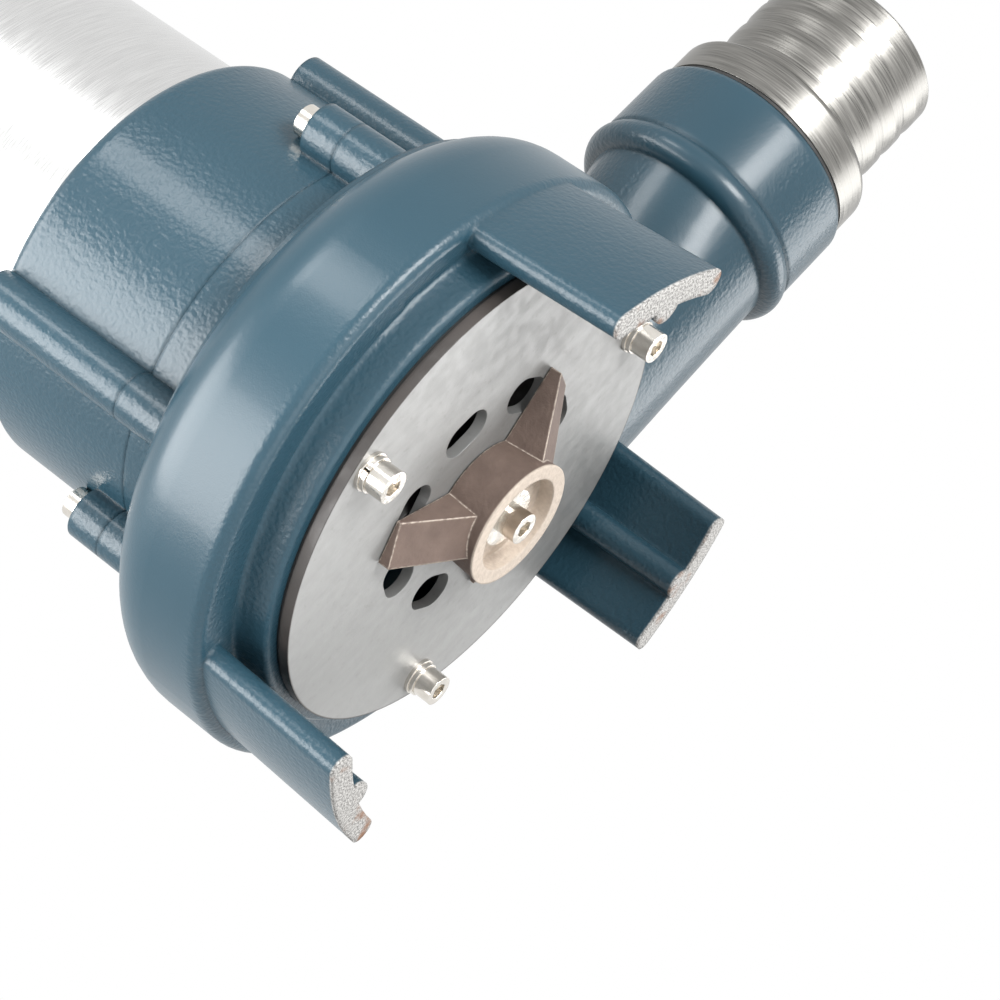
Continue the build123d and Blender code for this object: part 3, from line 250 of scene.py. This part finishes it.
fill(
    tree, shader,
    Base_Color=blend(tree, bare, pigment, rusty),
    Roughness=ramp(tree, bare, 0.0, 1.0, 0.33, 0.75),
    Specular_IOR_Level=0.35,
    Coat_Weight=ramp(tree, bare, 0.0, 1.0, 0.15, 0.0),
    Coat_Roughness=0.14,
    Normal=skin.outputs["Normal"],
)
print("smooth wall from", wall_low, "to", wall_high, "bare iron below", painted_from)

# %% [markdown]
# ## Steel, iron and rubber
#
# The suction plate is ground steel, and its edge is coloured near black as painted shade of its side.
# The cutter is a brown casting: its hub's rim and the recess are worn to a pale beige, and so are the
# sharp edges of the claws. The screws are bright nickel, the motor shell is brushed stainless steel, and
# the collar and the hose tail are steel given a dark colour as painted shade, with the marks of the lathe
# round them.

# %% Plate and cutter
plate_low, plate_high = (Vector(corner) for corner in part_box("cutter_plate"))
plate_radius = (plate_high.x - plate_low.x) / 2
edge_depth = 0.0006
made["plate_steel"], tree, shader = new_material("plate_steel")
where = use_group(tree, from_shaft)
side = ramp(tree, where.outputs["Radius"], plate_radius - edge_depth, plate_radius - 0.0001)
ground = blend(tree, noise(tree, 30.0, 4.0, (1.0, 9.0, 1.0)), (0.20, 0.20, 0.195), (0.26, 0.26, 0.255))
scuffed = blend(tree, ramp(tree, noise(tree, 420.0, 3.0), 0.6, 0.75, 0.0, 0.35), ground, (0.16, 0.155, 0.15))
# The plate's edge colour is painted shade: a near-black mottle stands in for the shadow on the plate's side.
shade_painted_edge = blend(tree, noise(tree, 60.0, 3.0), (0.012, 0.011, 0.010), (0.06, 0.05, 0.045))
skin = use_group(tree, cast_skin, Radius=0.0003, Coarse=0.02, Fine=0.06, Grain=900.0)
fill(
    tree, shader,
    Base_Color=blend(tree, side, scuffed, shade_painted_edge),
    Metallic=ramp(tree, side, 0.0, 1.0, 0.35, 0.0),
    Roughness=ramp(tree, noise(tree, 200.0, 3.0), 0.3, 0.7, 0.38, 0.52),
    Normal=skin.outputs["Normal"],
)

rim_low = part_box("cutter")[0][2]
recess_radius = 0.0155
made["cutter_alloy"], tree, shader = new_material("cutter_alloy")
where = use_group(tree, from_shaft)
on_rim = ramp(tree, where.outputs["Height"], rim_low + 0.0002, rim_low + 0.0009, 1.0, 0.0)
in_recess = ramp(tree, where.outputs["Radius"], recess_radius, recess_radius + 0.0007, 1.0, 0.0)
worn = use_group(tree, worn_edge).outputs["Mask"]
pale = calc(tree, "MAXIMUM", calc(tree, "MAXIMUM", on_rim, in_recess), worn)
casting = blend(tree, noise(tree, 160.0, 4.0), (0.072, 0.048, 0.039), (0.165, 0.118, 0.096))
dust = blend(tree, noise(tree, 700.0, 3.0), (0.36, 0.30, 0.25), (0.60, 0.52, 0.44))
skin = use_group(tree, cast_skin, Radius=0.0009, Coarse=0.18, Fine=0.25, Grain=700.0)
fill(
    tree, shader,
    Base_Color=blend(tree, pale, casting, dust),
    Metallic=0.1,
    Roughness=0.62,
    Normal=skin.outputs["Normal"],
)
print("plate radius:", round(plate_radius, 4), "cutter rim at", round(rim_low, 4))

# %% Plain metals, rubber and the inner finishes


def metal(
    name, dark, light, rough, stretch=(1.0, 1.0, 1.0), grain=300.0, metallic=1.0, radius=0.0003, bumps=0.03
):
    """A metal whose colour, gloss and skin all follow one stretched grain."""
    material, tree, shader = new_material(name)
    lines = noise(tree, grain, 4.0, stretch)
    skin = use_group(tree, cast_skin, Radius=radius, Coarse=bumps, Fine=bumps, Grain=grain * 3)
    fill(
        tree, shader,
        Base_Color=blend(tree, lines, dark, light),
        Metallic=metallic,
        Roughness=ramp(tree, lines, 0.3, 0.7, rough * 0.8, rough * 1.2),
        Normal=skin.outputs["Normal"],
    )
    made[name] = material


along_shaft = (1.0, 1.0, 30.0)
round_outlet = (40.0, 1.0, 1.0)
metal("bright_screws", (0.62, 0.58, 0.52), (0.84, 0.81, 0.76), 0.16)
metal("stainless", (0.55, 0.55, 0.55), (0.74, 0.74, 0.73), 0.28, along_shaft, 90.0, bumps=0.0)
metal("shaft_steel", (0.42, 0.42, 0.42), (0.62, 0.62, 0.61), 0.3, (1.0, 1.0, 24.0), 120.0)
metal("bearing_steel", (0.62, 0.62, 0.63), (0.76, 0.76, 0.77), 0.12)
metal("lamination", (0.10, 0.10, 0.10), (0.32, 0.31, 0.30), 0.5, (0.2, 0.2, 40.0), 60.0)
metal("copper_winding", (0.32, 0.11, 0.04), (0.72, 0.32, 0.14), 0.35, (0.6, 0.6, 14.0), 140.0)
metal("rotor_alloy", (0.42, 0.42, 0.43), (0.62, 0.62, 0.63), 0.45)
metal("cast_alloy", (0.36, 0.36, 0.36), (0.55, 0.55, 0.54), 0.55, radius=0.001)
metal("plug_brass", (0.45, 0.31, 0.11), (0.70, 0.52, 0.24), 0.3)
metal("dark_inside", (0.02, 0.02, 0.02), (0.07, 0.068, 0.065), 0.55, metallic=0.2, radius=0.001)
metal("black_rubber", (0.008, 0.008, 0.008), (0.022, 0.022, 0.022), 0.55, metallic=0.0)
metal("ceramic", (0.62, 0.56, 0.48), (0.76, 0.71, 0.63), 0.2, metallic=0.0)
metal("capacitor_shell", (0.52, 0.52, 0.50), (0.66, 0.66, 0.64), 0.4, metallic=0.0)
# The collar steel's dark base colour is painted shade, standing in for the shade the outlet collar sits in.
metal("shaded_brushed_collar", (0.07, 0.07, 0.065), (0.34, 0.33, 0.31), 0.34, round_outlet, 60.0)

slot_of = {entry["node"]: entry["material_slot"] for entry in frame["record"]["subparts"]}
# The outlet collar and hose tail take the steel that is darkened as painted shade.
slot_of["outlet_adapter"] = slot_of["hose_tail"] = "shaded_brushed_collar"
for name, node in nodes.items():
    node.data.materials.clear()
    node.data.materials.append(made[slot_of[name]])
print("materials:", len(made))

# %% [markdown]
# ## The floor and the white room
#
# The camera looks up from below the ground that the legs stand on, so the floor must not hide the pump.
# Its material tests which side a ray meets: from above it is a pale matt floor that takes a shadow, and
# from below it lets the rays through. The light of the lamps under it passes too, and so does a ray that
# starts within 3 mm, so that the ground ends of the legs are lit. The room is white to the camera and to
# reflections, and softer as a light, so that the paint keeps its depth.

# %% Make the floor
bpy.ops.mesh.primitive_plane_add(size=6.0, location=(0.0, 0.0, -0.0005))
floor = bpy.context.object
floor.name = "studio_floor"
floor_paint, tree, shader = new_material("pale_floor")
fill(tree, shader, Base_Color=(0.86, 0.86, 0.86), Roughness=0.9)
see_through = add_node(tree, "BsdfTransparent").outputs[0]
from_below = add_node(tree, "NewGeometry").outputs["Backfacing"]
rays = add_node(tree, "LightPath").outputs
foot_clearance = 0.003
from_the_feet = calc(tree, "LESS_THAN", rays["Ray Length"], foot_clearance)
lamp_light = calc(tree, "MAXIMUM", rays["Is Shadow Ray"], rays["Is Glossy Ray"])
let_through = calc(tree, "MAXIMUM", calc(tree, "MAXIMUM", from_below, from_the_feet), lamp_light)
floor_mix = add_node(tree, "MixShader", (let_through, shader.outputs["BSDF"], see_through))
tree.links.new(floor_mix.outputs["Shader"], tree.nodes["Material Output"].inputs["Surface"])
floor.data.materials.append(floor_paint)
print("floor:", floor.name, "at", round(floor.location.z, 4))

# %% Light the room
room = bpy.data.worlds.new("white_room")
scene.world = room
room.use_nodes = True
tree = room.node_tree
room_light = tree.nodes["Background"]
room_light.inputs["Color"].default_value = (1.0, 1.0, 1.0, 1.0)
room_light.inputs["Strength"].default_value = 0.5
room_seen = add_node(tree, "Background", {"Color": (1.0, 1.0, 1.0, 1.0), "Strength": 1.0})
rays = add_node(tree, "LightPath").outputs
plain_view = calc(tree, "MAXIMUM", rays["Is Camera Ray"], rays["Is Transmission Ray"])
seen = calc(tree, "MAXIMUM", plain_view, rays["Is Glossy Ray"])
room_mix = add_node(tree, "MixShader", (seen, room_light.outputs[0], room_seen.outputs[0]))
tree.links.new(room_mix.outputs["Shader"], tree.nodes["World Output"].inputs["Surface"])
scene.view_settings.view_transform = "Standard"
print("world:", room.name)

# %% [markdown]
# ## The lamps
#
# Glossy paint shows where its lamps stand. Each softbox is placed in the mirror direction of a highlight in
# the photograph: the broad one on the volute's left side, the patches on the neck and the discharge hub,
# the pale band along their lower edge, and the even sheen on the plate.

# %% Add the softboxes


def softbox(name, place, aim, width, height, watts):
    """A rectangular lamp at a place, turned to face the aim."""
    bpy.ops.object.light_add(type="AREA", location=place)
    lamp = bpy.context.object
    lamp.name = name
    lamp.data.shape = "RECTANGLE"
    lamp.data.size = width
    lamp.data.size_y = height
    lamp.data.energy = watts
    lamp.rotation_euler = (Vector(aim) - Vector(place)).to_track_quat("-Z", "Y").to_euler()
    return lamp


softbox("left_softbox", (-1.05, -0.62, 0.98), (-0.12, -0.06, 0.07), 1.1, 1.35, 50.0)
softbox("front_softbox", (0.47, -1.0, -0.70), (0.08, 0.03, 0.06), 0.75, 0.45, 26.0)
softbox("neck_softbox", (0.15, -1.15, 0.80), (0.07, 0.03, 0.08), 0.3, 0.4, 5.0)
softbox("right_softbox", (0.62, 0.85, -0.90), (0.07, 0.05, 0.05), 0.8, 0.8, 10.0)
softbox("low_softbox", (-0.25, -0.35, -1.2), (-0.05, 0.0, 0.04), 0.9, 0.9, 5.0)
